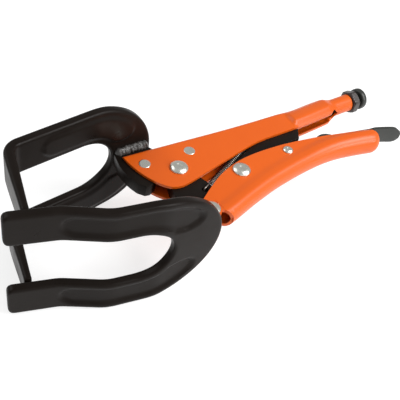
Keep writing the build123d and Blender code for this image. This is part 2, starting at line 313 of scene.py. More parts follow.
# %% Sizes of the forks and the shape of the bar
HALF = 39.7          # half the width of a fork
GAP_HALF = 18.5      # half the gap between its fingers
ARM_END = -46.0      # x where the outer edge starts to turn
GAP_ARM_END = -51.8  # x where the inner edge starts to turn
GAP_END = -30.5      # x of the bottom of the gap
THICK = 5.8
EDGE = 1.6           # radius of the bar's rounded edges
ROUND_STEPS = 4
FLAT_STEPS = 18
ARM_STEPS = 64
TURN_STEPS = 120
HOLLOW_LEAD = 9      # mm over which a hollow grows from its front end
HOLLOW_FADE = 22     # degrees of the turn over which it dies away
HOLLOW_STOP = 66     # degrees of the turn where it ends
HOLLOW_SHARE = 0.34  # half the hollow's width, as a share of the bar's


def ease(low, high, value):
    """Goes smoothly from 0 at low to 1 at high."""
    t = min(1.0, max(0.0, (value - low) / (high - low)))
    return t * t * (3 - 2 * t)


def rolled(distance, radius):
    """How much a rounded end takes away at a distance from its tip."""
    if distance >= radius:
        return 0.0
    return radius - math.sqrt(radius ** 2 - (radius - distance) ** 2)


def u_stations(tip, back, fullness):
    """Stations round the U, closer together at the tips: (inner point, outer point, degrees)."""
    arm = []
    for k in range(ARM_STEPS):
        share = 1 - math.cos(k / ARM_STEPS * math.pi / 2)
        x_in = tip + (GAP_ARM_END - tip) * share
        x_out = tip + (ARM_END - tip) * share
        arm.append(((x_in, GAP_HALF), (x_out, HALF), 0.0))
    turn = []
    for k in range(TURN_STEPS + 1):
        degrees = 180 / TURN_STEPS * k
        angle = math.radians(degrees)
        sweep = max(0.0, math.sin(angle))
        inner = (GAP_ARM_END + (GAP_END - GAP_ARM_END) * sweep, GAP_HALF * math.cos(angle))
        outer = (ARM_END + (back - ARM_END) * sweep ** fullness, HALF * math.cos(angle))
        turn.append((inner, outer, degrees))
    mirrored = [((a[0], -a[1]), (b[0], -b[1]), 180.0) for a, b, _ in reversed(arm)]
    return arm + turn + mirrored


def hollow(x, degrees, across, width, start):
    """How deep the pressing is, from 0 to 1; it starts at x = start."""
    fading = ease(HOLLOW_STOP - HOLLOW_FADE, HOLLOW_STOP, min(degrees, 180 - degrees))
    along = ease(start, start + HOLLOW_LEAD, x) * (1 - fading)
    if along <= 0:
        return 0.0
    reach = HOLLOW_SHARE * width * math.sqrt(along)
    off = abs(across - 0.5) * width
    return (1 - ease(reach - 2.0, reach + 0.4, off)) * ease(0.0, 0.5, along)


def bar_ring(width, half_thick, edge):
    """(across, height) pairs round a rounded rectangle; across is from 0 to 1."""
    edge = min(edge, half_thick, width / 2)
    upper = []
    for k in range(ROUND_STEPS + 1):
        a = math.pi / 2 * k / ROUND_STEPS
        upper.append((edge * (1 - math.cos(a)), half_thick - edge + edge * math.sin(a)))
    for k in range(1, FLAT_STEPS):
        upper.append((edge + (width - 2 * edge) * k / FLAT_STEPS, half_thick))
    for k in range(ROUND_STEPS + 1):
        a = math.pi / 2 * (1 - k / ROUND_STEPS)
        upper.append((width - edge * (1 - math.cos(a)), half_thick - edge + edge * math.sin(a)))
    lower = [(d, -v) for d, v in reversed(upper)]
    return [(d / width, v) for d, v in upper + lower]


print("forks", 2 * HALF, "mm wide, bar", THICK, "mm thick")

# %% [markdown]
# The lower fork's fingers bend up towards their tips and end in rounded pads. Its side view is four
# straight runs with wide bends between them, and the ends are rounded both ways: the ring gets
# narrower near the tip, and thinner right at the edge.

# %% The lower fork
LOWER_LINE = bent_line([(-115.6, -22.8, 0), (-88.8, -30.0, 25), (-66.1, -42.0, 28),
                        (-38.0, -46.5, 40), (6.0, -45.7, 0)])
LOWER_TIP, LOWER_BACK = -115.9, 0.5
LOWER_HOLLOW_START = -91
LOWER_HOLLOW, LOWER_RIB = 1.7, 1.0  # how deep the hollow is, and how high the rib
TIP_ROUND = 3.6


def lower_fork_rings():
    rings = []
    for inner, outer, degrees in u_stations(LOWER_TIP, LOWER_BACK, 1.0):
        width = math.dist(inner, outer)
        from_tip = inner[0] - LOWER_TIP
        inset, thin = rolled(from_tip, TIP_ROUND), rolled(from_tip, EDGE)
        ring = []
        for across, v in bar_ring(width - 2 * inset, THICK / 2 - 0.9 * thin, EDGE):
            share = (inset + across * (width - 2 * inset)) / width
            x = inner[0] + (outer[0] - inner[0]) * share
            z = inner[1] + (outer[1] - inner[1]) * share
            y, normal = height_at(LOWER_LINE, x)
            press = hollow(x, degrees, share, width, LOWER_HOLLOW_START)
            v += press * (LOWER_HOLLOW if v < 0 else LOWER_RIB)
            ring.append((x + normal.x * v * 0.9, y + normal.y * v, z))
        rings.append(ring)
    return rings


lower_fork = mesh_piece("lower_fork", *capped(lower_fork_rings()), dark_coating, "dark_steel",
                        "lower_jaw", "lower_jaw_fork")
smooth(lower_fork)

# %% [markdown]
# The upper fork's arms end in legs: the bar turns down at the front through a tight bend and
# narrows towards its foot. On a leg the bar no longer runs along x, so a station there is placed
# by its distance along the side view in place of its x.

# %% The upper fork
UPPER_LINE = bent_line([(-103.5, -22.4, 0), (-96.2, 21.0, 9), (-36.0, 29.7, 60), (6.0, 31.1, 0)],
                       step=0.8)
LEG_TOP = -84                # x where a leg joins its arm
LEG_TAPER = 4.0              # how much narrower a leg's foot is
LEG_THICK = 4.3              # at the foot
UPPER_BACK = -4.0
UPPER_FULLNESS = 0.88        # below 1 the back of the U is squarer than an ellipse
UPPER_HOLLOW_START = -80
UPPER_HOLLOW, UPPER_RIB = 1.4, 1.1


def leg_ring(k, side):
    """The ring k steps up a leg, which gets thicker and wider towards the arm."""
    points, normals = UPPER_LINE
    p, normal = points[k], normals[k]
    below = min(1.0, max(0.0, (14 - p.y) / 44))
    thick = LEG_THICK + (THICK - LEG_THICK) * ease(-22, 12, p.y)
    thin = rolled(math.dist(points[0], p), EDGE)
    width = HALF - LEG_TAPER * below - GAP_HALF - 2 * thin
    ring = []
    for across, v in bar_ring(width, thick / 2 - 0.8 * thin, EDGE):
        z = GAP_HALF + thin + across * width
        ring.append((p.x + normal.x * v, p.y + normal.y * v, side * z))
    return ring


def upper_fork_rings():
    leg = range(next(k for k, p in enumerate(UPPER_LINE[0]) if p.x > LEG_TOP))
    rings = [leg_ring(k, 1) for k in leg]
    for inner, outer, degrees in u_stations(LEG_TOP, UPPER_BACK, UPPER_FULLNESS):
        width = math.dist(inner, outer)
        ring = []
        for share, v in bar_ring(width, THICK / 2, EDGE):
            x = inner[0] + (outer[0] - inner[0]) * share
            z = inner[1] + (outer[1] - inner[1]) * share
            y, normal = height_at(UPPER_LINE, x)
            press = hollow(x, degrees, share, width, UPPER_HOLLOW_START)
            v -= press * (UPPER_HOLLOW if v > 0 else UPPER_RIB)
            ring.append((x + normal.x * v, y + normal.y * v, z))
        rings.append(ring)
    return rings + [leg_ring(k, -1) for k in reversed(leg)]


upper_fork = mesh_piece("upper_fork", *capped(upper_fork_rings()), dark_coating, "dark_steel",
                        "upper_handle", "upper_jaw_fork")
smooth(upper_fork)

# %% [markdown]
# ## The handles
# A handle is one sheet folded into a channel. Its half towards the viewer is drawn as a row of
# cross-sections, each a line of points on the outside and one on the inside of the sheet, and the
# other half is its mirror image. Where the fold is cut away, near the front pivots, the two
# halves stay apart as flat cheeks; elsewhere they join along the fold.

# %% A folded channel from half sections
def curve_through(knots):
    """A smooth value between (place, value) knots."""
    def value(x):
        if x <= knots[0][0]:
            return knots[0][1]
        for k in range(len(knots) - 1):
            (x0, y0), (x1, y1) = knots[k], knots[k + 1]
            if x <= x1:
                before = knots[max(k - 1, 0)]
                after = knots[min(k + 2, len(knots) - 1)]
                s0 = (y1 - before[1]) / (x1 - before[0])
                s1 = (after[1] - y0) / (after[0] - x0)
                h, t = x1 - x0, (x - x0) / (x1 - x0)
                return ((2 * t ** 3 - 3 * t ** 2 + 1) * y0 + (t ** 3 - 2 * t ** 2 + t) * h * s0
                        + (3 * t ** 2 - 2 * t ** 3) * y1 + (t ** 3 - t ** 2) * h * s1)
        return knots[-1][1]
    return value


def folded_sheet(stations, section):
    """Points and faces. section(x) gives (outside, inside, joined) for z from the cheek to the fold."""
    points, faces, joined = [], [], []
    size = 0
    for x in stations:
        outside, inside, whole = section(x)
        size = len(outside)
        joined.append(whole)
        for side in (1, -1):
            points += [(x, y, side * z) for y, z in outside]
            points += [(x, y, side * z) for y, z in inside]
    row = 4 * size

    def quad(a, b, k):
        faces.append((k * row + a, k * row + b, (k + 1) * row + b, (k + 1) * row + a))

    for k in range(len(stations) - 1):
        for base in (0, 2 * size):
            for j in range(size - 1):
                quad(base + j, base + j + 1, k)
                quad(base + size + j, base + size + j + 1, k)
            quad(base, base + size, k)
            if not (joined[k] and joined[k + 1]):
                quad(base + size - 1, base + 2 * size - 1, k)
    for k in (0, len(stations) - 1):
        for base in (0, 2 * size):
            for j in range(size - 1):
                a = k * row + base + j
                faces.append((a, a + 1, a + size + 1, a + size))
    return points, faces


def round_edges(piece, width, angle=50, segments=3):
    """Rolls the sharp edges over, and makes the result the piece's own mesh."""
    bevel = piece.modifiers.new("rolled_edges", "BEVEL")
    bevel.width = width / 1000
    bevel.segments = segments
    bevel.limit_method = "ANGLE"
    bevel.angle_limit = math.radians(angle)
    bevel.use_clamp_overlap = True
    graph = bpy.context.evaluated_depsgraph_get()
    done = bpy.data.meshes.new_from_object(piece.evaluated_get(graph))
    piece.modifiers.clear()
    piece.data = done


def spaced(start, end, step):
    """Even places from start up to, but not at, the end."""
    count = max(1, round((end - start) / step))
    return [start + (end - start) * k / count for k in range(count)]


SHEET = 1.8        # thickness of the sheet
CHEEK = 6.0        # from the middle plane to a cheek's outer face
SIDE_STEPS = 20
ROLLED_EDGE = 0.45
print("folded", 2 * CHEEK, "mm wide from", SHEET, "mm sheet")

# %% [markdown]
# The upper handle starts as two flat cheeks round the front rivets. Behind them the fold forms a
# narrow back, then the sheet bulges to make room for the screw, and at the rear it closes into a
# round tube. The three cross-sections have the same number of points, so one can turn into the
# next over a few millimetres.

# %% The upper handle's cross-section
upper_back = curve_through([(-36, 22.3), (0, 21.4), (50, 19.9), (89, 20.0), (100, 20.8),
                            (114, 22.2), (126, 23.0), (134, 22.6), (140, 21.9), (151, 22.0)])
upper_hem = curve_through([(-26.4, 20.5), (-26.1, 17.5), (-25.3, 12.6), (-23.2, 5.2), (-19.6, -2.6),
                           (-15.2, -9.1), (-11.0, -12.4), (-6, -13.5), (-1, -13.0), (4, -11.9),
                           (30, -5.4), (60, 1.4), (91, 3.0), (126, 6.4), (132, 8.0),
                           (135.5, 9.2), (138, 9.8), (151, 9.9)])
MOUTH_X = -2.0     # in front of this the cheeks stay apart
ARC_STEPS = 7
TOP_STEPS = 4
TUBE_OUT, TUBE_IN = 6.0, 4.2
TUBE_END = (150.5, 15.9)
LEAN = 3.0         # degrees between the tube and the flat back
BULGE_OUT, CURL_IN = 2.0, 2.2


def channel_half(hem, back, half, corner, mouth):
    """Flat side, a rounded corner and half of a flat back; mouth stops the arc at the cheek."""
    line = [(hem + (back - corner - hem) * k / SIDE_STEPS, half) for k in range(SIDE_STEPS)]
    full = math.acos(max(-1.0, min(1.0, (mouth - (half - corner)) / corner))) if mouth else math.pi / 2
    for k in range(ARC_STEPS + 1):
        a = full * k / ARC_STEPS
        line.append((back - corner + corner * math.sin(a), half - corner + corner * math.cos(a)))
    last = line[-1]
    for k in range(1, TOP_STEPS + 1):
        z = last[1] + ((mouth or 0.0) - last[1]) * k / TOP_STEPS
        line.append((last[0], z))
    return line


def tube_half(centre, radius, gap):
    """Round from the slot underneath up to the top."""
    total = SIDE_STEPS + ARC_STEPS + TOP_STEPS
    start = math.asin(min(1.0, gap / radius))
    line = []
    for k in range(total + 1):
        a = start + (math.pi - start) * k / total
        line.append((centre - radius * math.cos(a), radius * math.sin(a)))
    return line


def mixed(a, b, share):
    """Each point moved that share of the way from one line to the other."""
    return [(p[0] + (q[0] - p[0]) * share, p[1] + (q[1] - p[1]) * share) for p, q in zip(a, b)]


def swollen(line, hem, half, bulge):
    """A side pushed outwards in the middle, with its hem curled in."""
    out = []
    for y, z in line:
        lift = max(0.0, 1 - ((y - (hem + 6.0)) / 9.0) ** 2)
        curl = 1 - ease(hem, hem + 5.0, y)
        out.append((y, z + (BULGE_OUT * lift - CURL_IN * curl) * bulge * z / half))
    return out


def upper_section(x):
    hem, back = upper_hem(x), upper_back(x)
    corner = 2.4 + 2.6 * ease(86, 104, x)
    wall = CHEEK - SHEET
    mouth = wall if x < MOUTH_X else 0
    outside = channel_half(hem, back, CHEEK, corner, mouth)
    if mouth:
        rise = (outside[-1][0] - hem) / (len(outside) - 1)
        inside = [(hem + rise * k, wall) for k in range(len(outside))]
    else:
        inside = channel_half(hem, back - SHEET, wall, max(corner - SHEET, 0.7), 0)
    bulge = ease(91.5, 95.5, x) * (1 - ease(126, 136, x))
    if bulge > 0:
        outside = swollen(outside, hem, CHEEK, bulge)
        inside = swollen(inside, hem, wall, bulge)
    closing = ease(127, 137, x)
    if closing > 0:
        centre = TUBE_END[1] - (TUBE_END[0] - x) * math.tan(math.radians(LEAN))
        gap = 5.0 * (1 - ease(128, 137.5, x)) + 0.12
        outside = mixed(outside, tube_half(centre, TUBE_OUT, gap), closing)
        inside = mixed(inside, tube_half(centre, TUBE_IN, gap), closing)
    return outside, inside, x >= MOUTH_X


places = ([-26.4, -26.3, -26.1, -25.8, -25.4, -24.9, -24.2] + spaced(-23.5, -2.6, 1.1)
          + [-2.2, MOUTH_X - 0.01, MOUTH_X] + spaced(-1, 88, 2.2) + spaced(88, 98, 0.5)
          + spaced(98, 125, 0.8) + spaced(125, 139, 0.5) + spaced(139, TUBE_END[0], 1.6)
          + [TUBE_END[0]])
points, faces = folded_sheet(places, upper_section)
upper_shell = mesh_piece("upper_handle_shell", points, faces, orange_paint, "orange_paint",
                         "upper_handle", "upper_handle")
round_edges(upper_shell, ROLLED_EDGE)
smooth(upper_shell, 35)

# %% [markdown]
# The lower handle is folded the other way up: its fold is a full round along the bottom, where
# the hand presses, and the channel is open above. At the front the round ends in an open curl
# behind the pivot, and only the two cheeks carry on round the rivet.

# %% The lower handle's cross-section
lower_spine = curve_through([(5, -46.7), (11, -44.8), (17, -43.0), (33, -37.8), (52, -32.6),
                             (66, -29.8), (80, -27.6), (96, -26.0), (110, -26.1), (126, -28.2),
                             (141, -31.0)])
lower_rim = curve_through([(-6.2, -36.0), (-6.0, -34.4), (-5.2, -32.6), (-3.0, -30.0), (3, -25.6),
                           (10, -21.0), (20, -15.1), (30, -11.0), (40, -8.5), (50, -7.3), (60, -7.0),
                           (76, -7.5), (105, -11.0), (125, -15.4), (132, -17.2), (137, -19.0),
                           (140.0, -21.6), (141.2, -25.0)])
lower_foot = curve_through([(-6.2, -36.0), (-6.0, -37.7), (-5.2, -39.6), (-3.4, -41.4), (0.3, -42.5),
                            (3.6, -41.6), (5.6, -39.8), (8.4, -42.0), (11.4, -44.4)])
half_width = curve_through([(-8, 6.0), (80, 6.0), (96, 6.5), (110, 7.0), (126, 7.4), (141, 7.4)])
CURL_X = 11.4      # in front of this the fold is cut away
REAR_X = 141.2     # the rear end
ROUND_SPAN = 24
SPINE_PROUD = 0.9  # how far the round stands out beyond the cheeks


def round_half(top, spine, half, inward, low):
    """Flat side, then a quarter round to the fold; low cuts it short where there is no fold."""
    radius = half - 0.1 - inward
    wall = half - inward
    floor = spine + inward
    centre = floor + radius
    end = floor if low is None else max(low, floor)
    begin = math.asin(min(1.0, (centre - top) / radius)) if top < centre else 0.0
    line = []
    if end >= centre:
        total = SIDE_STEPS + ROUND_SPAN
        return [(top + (end - top) * k / total, wall) for k in range(total + 1)]
    for k in range(SIDE_STEPS):
        y = centre - radius * math.sin(begin)
        if top > centre:
            y = top + (centre - top) * k / SIDE_STEPS
        line.append((y, wall - radius + radius * math.cos(begin)))
    stop = math.asin(min(1.0, (centre - end) / radius))
    for k in range(ROUND_SPAN + 1):
        a = begin + (stop - begin) * k / ROUND_SPAN
        line.append((centre - radius * math.sin(a), wall - radius + radius * math.cos(a)))
    if low is None:
        line[-1] = (floor, 0.0)
    return line


def lower_section(x):
    top, spine, half = lower_rim(x), lower_spine(x), half_width(x)
    low = lower_foot(x) if x < CURL_X else None
    rear = ease(134.5, REAR_X, x)
    if rear > 0:
        spine += 2.0 * (1 - math.sqrt(max(0.0, 1 - rear * rear)))
    outside = round_half(top, spine, half, 0.0, low)
    inside = round_half(top, spine, half, SHEET, low)
    knee = spine + half

    def roll(line):
        proud = []
        for y, z in line:
            swell = ease(knee + 7.5, knee + 1.5, y) if y > knee else 1.0
            out = swell * SPINE_PROUD - (1 - swell) * (half - CHEEK)
            proud.append((y, z + out * z / half))
        return proud
    return roll(outside), roll(inside), low is None


places = ([-6.2, -6.15, -6.05, -5.9, -5.6, -5.2, -4.7] + spaced(-4, 11, 0.6)
          + [11.2, CURL_X - 0.01, CURL_X] + spaced(12.2, 136, 0.8)
          + spaced(136, REAR_X, 0.4) + [REAR_X])
points, faces = folded_sheet(places, lower_section)
lower_shell = mesh_piece("lower_handle_shell", points, faces, orange_paint, "orange_paint",
                         "lower_handle", "lower_handle")
round_edges(lower_shell, ROLLED_EDGE)
smooth(lower_shell, 35)

# %% [markdown]
# ## Plates and levers
# The two shanks, the toggle link and the release lever are flat or folded steel. The CAD outline
# is exact, so each is a cleaned copy of the CAD piece with its sheared edges rolled over.

# %% The plates with rounded edges
def softened(name, node, width, body):
    """A copy of a CAD piece in one clean mesh, with its edges rounded by a width in mm."""
    source = frame["nodes"][node]
    mesh = source.data.copy()
    mesh.transform(source.matrix_world)
    work = bmesh.new()
    work.from_mesh(mesh)
    bmesh.ops.remove_doubles(work, verts=work.verts, dist=2e-6)
    bmesh.ops.dissolve_limit(work, angle_limit=math.radians(1.0), verts=work.verts,
                             edges=work.edges)
    bmesh.ops.recalc_face_normals(work, faces=work.faces)
    work.to_mesh(mesh)
    work.free()
    piece = bpy.data.objects.new(name, mesh)
    bpy.context.scene.collection.objects.link(piece)
    round_edges(piece, width, 40)
    smooth(piece, 35)
    return dress(piece, FINISHES[SLOT_OF[node]], SLOT_OF[node], body, node)


for name, node, width, body in (
        ("upper_shank", "upper_jaw_shank", 0.7, "upper_handle"),
        ("lower_shank", "lower_jaw_shank", 0.5, "lower_jaw"),
        ("link_plate", "toggle_link", 0.5, "toggle_link"),
        ("release_lever_folded", "release_lever", 0.45, "release_lever")):
    softened(name, node, width, body)

# %% [markdown]
# ## Welds
# Each shank is welded to its fork along both corners. A weld is laid as a row of overlapping
# puddles, so the bead is drawn as a rod whose radius swells with each puddle, with some noise for
# its lumps.

# %% Lumpy weld beads
PUDDLE = 2.1         # mm from one puddle to the next
PUDDLE_RISE = 0.22
LUMP_RISE = 0.75
BEAD_STEPS, BEAD_AROUND = 56, 30


def bead_rings(start, end, z, radius, seed):
    """Rings along one bead; the puddle ripples lean back along the run."""
    run = Vector((end[0] - start[0], end[1] - start[1], 0))
    length = run.length
    run.normalize()
    side = Vector((-run.y, run.x, 0))
    rings = []
    for k in range(BEAD_STEPS + 1):
        s = -radius + (length + 2 * radius) * k / BEAD_STEPS
        past = max(0.0, -s, s - length)
        shell = math.sqrt(max(0.0, 1 - (past / radius) ** 2))
        ring = []
        for j in range(BEAD_AROUND):
            a = 2 * math.pi * j / BEAD_AROUND
            ripple = PUDDLE_RISE * math.sin(2 * math.pi * (s + 0.9 * math.cos(a)) / PUDDLE)
            place = Vector((s * 0.55, math.cos(a) * 1.1, math.sin(a) * 1.1 + seed))
            lump = LUMP_RISE * noise.noise(place) + 0.3 * noise.noise(place * 3.1)
            r = max(0.03, (radius + ripple + lump) * shell)
            spot = Vector((*start, z)) + run * s + side * r * math.cos(a)
            ring.append((spot.x, spot.y, spot.z + r * math.sin(a)))
        rings.append(ring)
    return rings


def weld_piece(name, start, end, half, radius, body, node):
    """The two beads of one weld, one in each corner."""
    beads = [capped(bead_rings(start, end, side * half, radius, 7.0 * side)) for side in (1, -1)]
    piece = mesh_piece(name, *joined(*beads), weld_skin, "weld_metal", body, node)
    smooth(piece, 60)


weld_piece("upper_weld_beads", (-26, 26.6), (-9.5, 27.0), 4.6, 3.0, "upper_handle",
           "upper_jaw_welds")
weld_piece("lower_weld_beads", (-18.5, -43.2), (-7.5, -43.0), 4.1, 2.8, "lower_jaw",
           "lower_jaw_welds")

# %% [markdown]
# ## Rivets
# A pivot rivet is a pin whose ends were upset into a broad, low dome, with a small dimple in the
# middle left by the setting tool. The two fixing rivets are hammered nearly flush. The spring's
# pin ends inside the sheet, ground flush and painted over. All of them are turned shapes, made by
# spinning a profile, and each sits in the middle of its own CAD piece.

# %% Turned pieces
def turned(profile, around=72):
    """Rings of a profile given as (radius, height) from one end to the other."""
    return [[(r * math.cos(2 * math.pi * j / around), r * math.sin(2 * math.pi * j / around), h)
             for j in range(around)] for r, h in profile]


def rivet(name, node, head, pin, cheek, body):
    """A head at each end of a pin; the heads start at the cheek's face."""
    ends = [(r, cheek + h) for r, h in head] + [(pin, cheek)]
    profile = ends + [(r, -h) for r, h in reversed(ends)]
    centre = middle(node)
    rings = [[(x + centre[0], y + centre[1], z) for x, y, z in ring] for ring in turned(profile)]
    piece = mesh_piece(name, *capped(rings), zinc_plate, "bright_rivet", body, node)
    smooth(piece, 50)


BIG_HEAD = [(0.05, 1.72), (0.8, 1.74), (1.3, 1.86), (1.8, 2.06), (2.3, 2.16), (2.9, 2.14),
            (3.5, 2.0), (4.1, 1.78), (4.7, 1.48), (5.2, 1.14), (5.5, 0.84), (5.68, 0.5),
            (5.7, 0.2), (5.6, 0.0)]
SMALL_HEAD = [(r * 0.585, h * 0.66) for r, h in BIG_HEAD]
FLUSH_HEAD = [(0.05, 0.2), (1.4, 0.22), (2.6, 0.27), (3.1, 0.3), (3.35, 0.26), (3.5, 0.12),
              (3.55, 0.0)]
GROUND_END = [(0.05, 0.1), (0.6, 0.08), (0.95, 0.0)]
for name, node, head, pin, cheek, body in (
        ("main_rivet", "main_pivot_rivet", BIG_HEAD, 3.5, CHEEK, "upper_handle"),
        ("handle_rivet", "handle_pivot_rivet", BIG_HEAD, 3.5, CHEEK, "lower_handle"),
        ("link_rivet", "link_pivot_rivet", BIG_HEAD, 3.5, CHEEK, "lower_handle"),
        ("lever_rivet", "lever_pivot_rivet", SMALL_HEAD, 2.0, CHEEK, "lower_handle"),
        ("front_fixing_rivet", "front_shank_rivet", FLUSH_HEAD, 3.55, CHEEK, "upper_handle"),
        ("rear_fixing_rivet", "rear_shank_rivet", FLUSH_HEAD, 3.55, CHEEK, "upper_handle"),
        ("spring_pin_peened", "spring_anchor_pin", GROUND_END, 0.95, 5.0, "upper_handle")):
    rivet(name, node, head, pin, cheek, body)

# %% [markdown]
# ## Screw, nut and head
# The screw leans three degrees and its thread is a ridge that follows a helix, so Geometry Nodes
# draws it: a spiral curve carries a small four-sided section. The same tree winds the jaw
# spring, with a round section instead.

# %% A node tree that winds a section along a helix
def winding_tree():
    """A spiral curve that carries a round or few-sided section, ending in one painted mesh."""
    tree = bpy.data.node_groups.new("wound_section", "GeometryNodeTree")
    for label, kind in (("Turns", "NodeSocketFloat"), ("Radius", "NodeSocketFloat"),
                        ("Length", "NodeSocketFloat"), ("Section Radius", "NodeSocketFloat"),
                        ("Section Sides", "NodeSocketInt"), ("Steps", "NodeSocketInt"),
                        ("Material", "NodeSocketMaterial")):
        tree.interface.new_socket(label, in_out="INPUT", socket_type=kind)
    tree.interface.new_socket("Geometry", in_out="OUTPUT", socket_type="NodeSocketGeometry")
    given = tree.nodes.new("NodeGroupInput")
    spiral = tree.nodes.new("GeometryNodeCurveSpiral")
    section = tree.nodes.new("GeometryNodeCurvePrimitiveCircle")
    sweep = tree.nodes.new("GeometryNodeCurveToMesh")
    sweep.inputs["Fill Caps"].default_value = True
    real = tree.nodes.new("GeometryNodeRealizeInstances")
    paint = tree.nodes.new("GeometryNodeSetMaterial")
    out = tree.nodes.new("NodeGroupOutput")
    link = tree.links.new
    link(given.outputs["Turns"], spiral.inputs["Rotations"])
    link(given.outputs["Radius"], spiral.inputs["Start Radius"])
    link(given.outputs["Radius"], spiral.inputs["End Radius"])
    link(given.outputs["Length"], spiral.inputs["Height"])
    link(given.outputs["Steps"], spiral.inputs["Resolution"])
    link(given.outputs["Section Radius"], section.inputs["Radius"])
    link(given.outputs["Section Sides"], section.inputs["Resolution"])
    link(spiral.outputs["Curve"], sweep.inputs["Curve"])
    link(section.outputs["Curve"], sweep.inputs["Profile Curve"])
    link(sweep.outputs["Mesh"], real.inputs["Geometry"])
    link(real.outputs["Geometry"], paint.inputs["Geometry"])
    link(given.outputs["Material"], paint.inputs["Material"])
    link(paint.outputs["Geometry"], out.inputs["Geometry"])
    return tree


WINDING = winding_tree()


def wound(turns, radius, length, section, sides, steps, material):
    """The wound mesh along +Z from the origin, in mm, as points and faces."""
    holder = bpy.data.objects.new("winding", bpy.data.meshes.new("winding"))
    bpy.context.scene.collection.objects.link(holder)
    nodes = holder.modifiers.new("winding", "NODES")
    nodes.node_group = WINDING
    values = {"Turns": float(turns), "Radius": float(radius), "Length": float(length),
              "Section Radius": float(section), "Section Sides": sides, "Steps": steps,
              "Material": material}
    for item in WINDING.interface.items_tree:
        if item.in_out == "INPUT":
            nodes[item.identifier] = values[item.name]
    graph = bpy.context.evaluated_depsgraph_get()
    mesh = bpy.data.meshes.new_from_object(holder.evaluated_get(graph))
    points = [tuple(v.co) for v in mesh.vertices]
    faces = [tuple(f.vertices) for f in mesh.polygons]
    bpy.data.objects.remove(holder)
    return points, faces


def placed(points, origin, degrees):
    """Turns local +Z into a direction in the middle plane, at degrees from +X."""
    a = math.radians(degrees)
    ahead, up = Vector((math.cos(a), math.sin(a), 0)), Vector((-math.sin(a), math.cos(a), 0))
    base = Vector((*origin, 0))
    return [tuple(base + ahead * z + up * y + Vector((0, 0, x))) for x, y, z in points]


# %% [markdown]
# The rod has a rounded push end, a thread from near that end to just past the nut, and a plain
# neck under the head. The head is a thick disc with a rolled rim and a shallow hollow in
# its face. Screw and nut stand on the tube's end and lean with it, so heights here are measured
# from that end.

# %% The adjusting screw and its head
PUSH_END, NECK_END = -48.2, 9.4
CORE = 3.25
RIDGE_TURNS, RIDGE_START, RIDGE_LENGTH = 33, -44.0, 50.4
RIDGE_RADIUS, RIDGE_SIZE = 3.2, 0.62
rod = capped(turned([(0.05, PUSH_END), (2.4, PUSH_END + 0.1), (3.1, PUSH_END + 0.7),
                     (CORE, PUSH_END + 1.7), (CORE, NECK_END), (0.05, NECK_END)], 48))
ridge = wound(RIDGE_TURNS, RIDGE_RADIUS, RIDGE_LENGTH, RIDGE_SIZE, 4, 36, grey_plate)
ridge = ([(x, y, z + RIDGE_START) for x, y, z in ridge[0]], ridge[1])
points, faces = joined(rod, ridge)
screw = mesh_piece("screw_threaded", placed(points, TUBE_END, LEAN), faces, black_oxide,
                   "grey_coated_steel", "adjusting_screw", "adjusting_screw")
smooth(screw, 40)

HEAD = [(0.05, 12.9), (3.6, 12.9), (4.6, 13.0), (5.6, 13.3), (6.4, 13.4), (7.0, 13.2),
        (7.35, 12.8), (7.5, 12.2), (7.5, 10.4), (7.35, 9.7), (7.0, 9.25), (6.3, 9.05),
        (4.2, 9.0), (3.9, 8.9), (3.6, 8.4), (3.4, 8.3), (0.05, 8.3)]
points, faces = capped(turned(HEAD, 96))
knob = mesh_piece("screw_head_disc", placed(points, TUBE_END, LEAN), faces, grey_plate,
                  "grey_coated_steel", "screw_head", "screw_head")
smooth(knob, 40)

# %% [markdown]
# The lock nut is a hexagon whose corners are cut back by a cone on both faces. Around each ring
# the radius is the smaller of the hexagon's and the cone's, which gives the curved chamfers.

# %% The lock nut
NUT_FLAT = 7.3       # from the axis to a flat
NUT_START, NUT_THICK = 0.4, 5.6
NUT_BORE = 4.1
NUT_CONE, CONE_SLOPE = 6.75, 1.6
NUT_AROUND = 144


def nut_radius(a, level):
    """The nut's radius in a direction: its flat or corner, or the cone near a face."""
    off_flat = a % (math.pi / 3) - math.pi / 6
    corner_wear = 0.25 * (abs(off_flat) / (math.pi / 6)) ** 14
    cone = NUT_CONE + min(level, NUT_THICK - level) * CONE_SLOPE
    return min(NUT_FLAT / math.cos(off_flat) - corner_wear, cone)


def nut_rings():
    """Rings up the outside and down the bore; the last joins the first."""
    turns = [2 * math.pi * j / NUT_AROUND for j in range(NUT_AROUND)]
    levels = [0, 0.12, 0.35, 0.6, 0.9, 1.3, 2.0, 2.8, 3.6, 4.3, 4.7, 5.0, 5.25, 5.48, NUT_THICK]
    rings = []
    for level in levels:
        radii = [nut_radius(a, level) for a in turns]
        rings.append([(r * math.cos(a), r * math.sin(a), NUT_START + level)
                      for r, a in zip(radii, turns)])
    for height in (NUT_START + NUT_THICK, NUT_START):
        rings.append([(NUT_BORE * math.cos(a), NUT_BORE * math.sin(a), height) for a in turns])
    return rings


def looped_faces(rings):
    """Quads between rings, and from the last ring back to the first."""
    size, count = len(rings[0]), len(rings)
    faces = []
    for k in range(count):
        here, there = k * size, (k + 1) % count * size
        for j in range(size):
            n = (j + 1) % size
            faces.append((here + j, here + n, there + n, there + j))
    return faces


rings = nut_rings()
points = placed([p for ring in rings for p in ring], TUBE_END, LEAN)
nut = mesh_piece("hex_lock_nut", points, looped_faces(rings), black_oxide, "black_nut",
                 "lock_nut", "lock_nut")
smooth(nut, 24)
